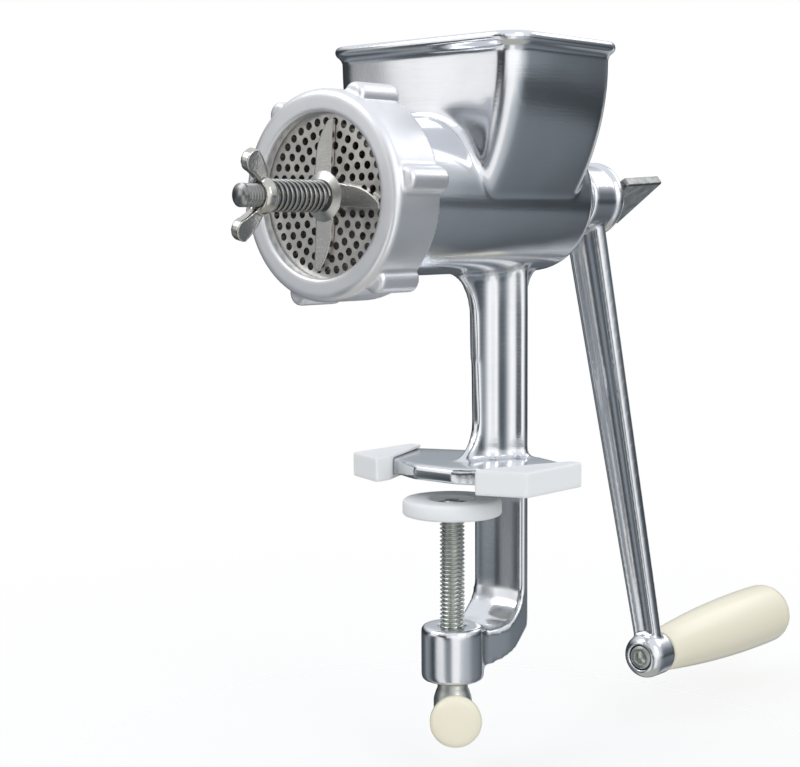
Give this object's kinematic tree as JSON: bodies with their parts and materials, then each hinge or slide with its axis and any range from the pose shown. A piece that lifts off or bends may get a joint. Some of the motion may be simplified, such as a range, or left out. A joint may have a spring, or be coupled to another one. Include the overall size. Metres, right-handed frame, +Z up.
{
  "type": "hand food mill",
  "caption": "Hand-cranked food mill with a rectangular hopper, screw-fed barrel, perforated die plate with outside cutter, and a table clamp.",
  "frame": {"origin": "on the clamp screw's axis, in the plane of the jaw shoes' undersides, which rests on the table top", "axes": "+Z up along the clamp screw; +Y along the barrel from the outlet to the crank; +X across the barrel"},
  "size_m": [0.0924, 0.3211, 0.2647],
  "materials": {
    "cast_aluminium": "tumbled and polished casting",
    "ring_aluminium": "satin casting",
    "plate_steel": "satin stainless",
    "cutter_steel": "ground stainless",
    "nickel_steel": "nickel plated",
    "thread_steel": "machined thread",
    "zinc_steel": "zinc plated",
    "white_nylon": "moulded, slightly translucent",
    "cream_plastic": "moulded, soft gloss",
    "bearing_plastic": "moulded"
  },
  "bodies": {
    "mill_frame": {"body_casting": "cast_aluminium", "plate_key": "thread_steel", "die_plate": "plate_steel", "rear_bush": "bearing_plastic", "thrust_washer": "bearing_plastic", "jaw_cover_left": "white_nylon", "jaw_cover_right": "white_nylon"},
    "ring": {"ring_nut": "ring_aluminium"},
    "crank": {"auger": "cast_aluminium", "front_stud": "thread_steel", "cutter": "cutter_steel", "crank_arm": "cast_aluminium", "hub_washer": "zinc_steel", "thumb_screw": "zinc_steel", "grip_washer": "zinc_steel", "grip_bolt": "zinc_steel", "grip_nut": "zinc_steel"},
    "spring": {"cutter_spring": "thread_steel"},
    "wing": {"wing_nut": "nickel_steel"},
    "handle_grip": {"grip": "cream_plastic"},
    "pad": {"clamp_pad": "white_nylon"},
    "screw": {"clamp_screw": "zinc_steel", "pad_retainer": "zinc_steel", "handle_bar": "zinc_steel", "handle_knob": "cream_plastic"}
  },
  "joints": [
    {"name": "ring_nut_travel", "type": "slide", "parent": "mill_frame", "child": "ring", "axis": [0, -1, 0], "range_m": [0, 0.014]},
    {"name": "crank_turn", "type": "hinge", "parent": "mill_frame", "child": "crank", "pos_m": [0, 0, 0.1085], "axis": [0, 1, 0], "continuous": true},
    {"name": "spring_press", "type": "slide", "parent": "crank", "child": "spring", "axis": [0, 1, 0], "range_m": [0, 0.009], "deforming": ["cutter_spring"]},
    {"name": "wing_nut_turn", "type": "hinge", "parent": "spring", "child": "wing", "pos_m": [0, -0.098, 0.1085], "axis": [0, 1, 0], "range_deg": [-1, 2593.5]},
    {"name": "grip_spin", "type": "hinge", "parent": "crank", "child": "handle_grip", "pos_m": [0.0197, 0.16, -0.0852], "axis": [0, 1, 0], "continuous": true},
    {"name": "pad_lift", "type": "slide", "parent": "mill_frame", "child": "pad", "axis": [0, 0, 1], "range_m": [-0.041, 0]},
    {"name": "clamp_screw_turn", "type": "hinge", "parent": "pad", "child": "screw", "pos_m": [0, 0, -0.05], "axis": [0, 0, 1], "range_deg": [-9300, 1]}
  ],
  "couplings": [
    {"joint": "wing_nut_turn", "follows": "spring_press", "rad_per_m": 5026.5},
    {"joint": "clamp_screw_turn", "follows": "pad_lift", "rad_per_m": 3957.9}
  ]
}
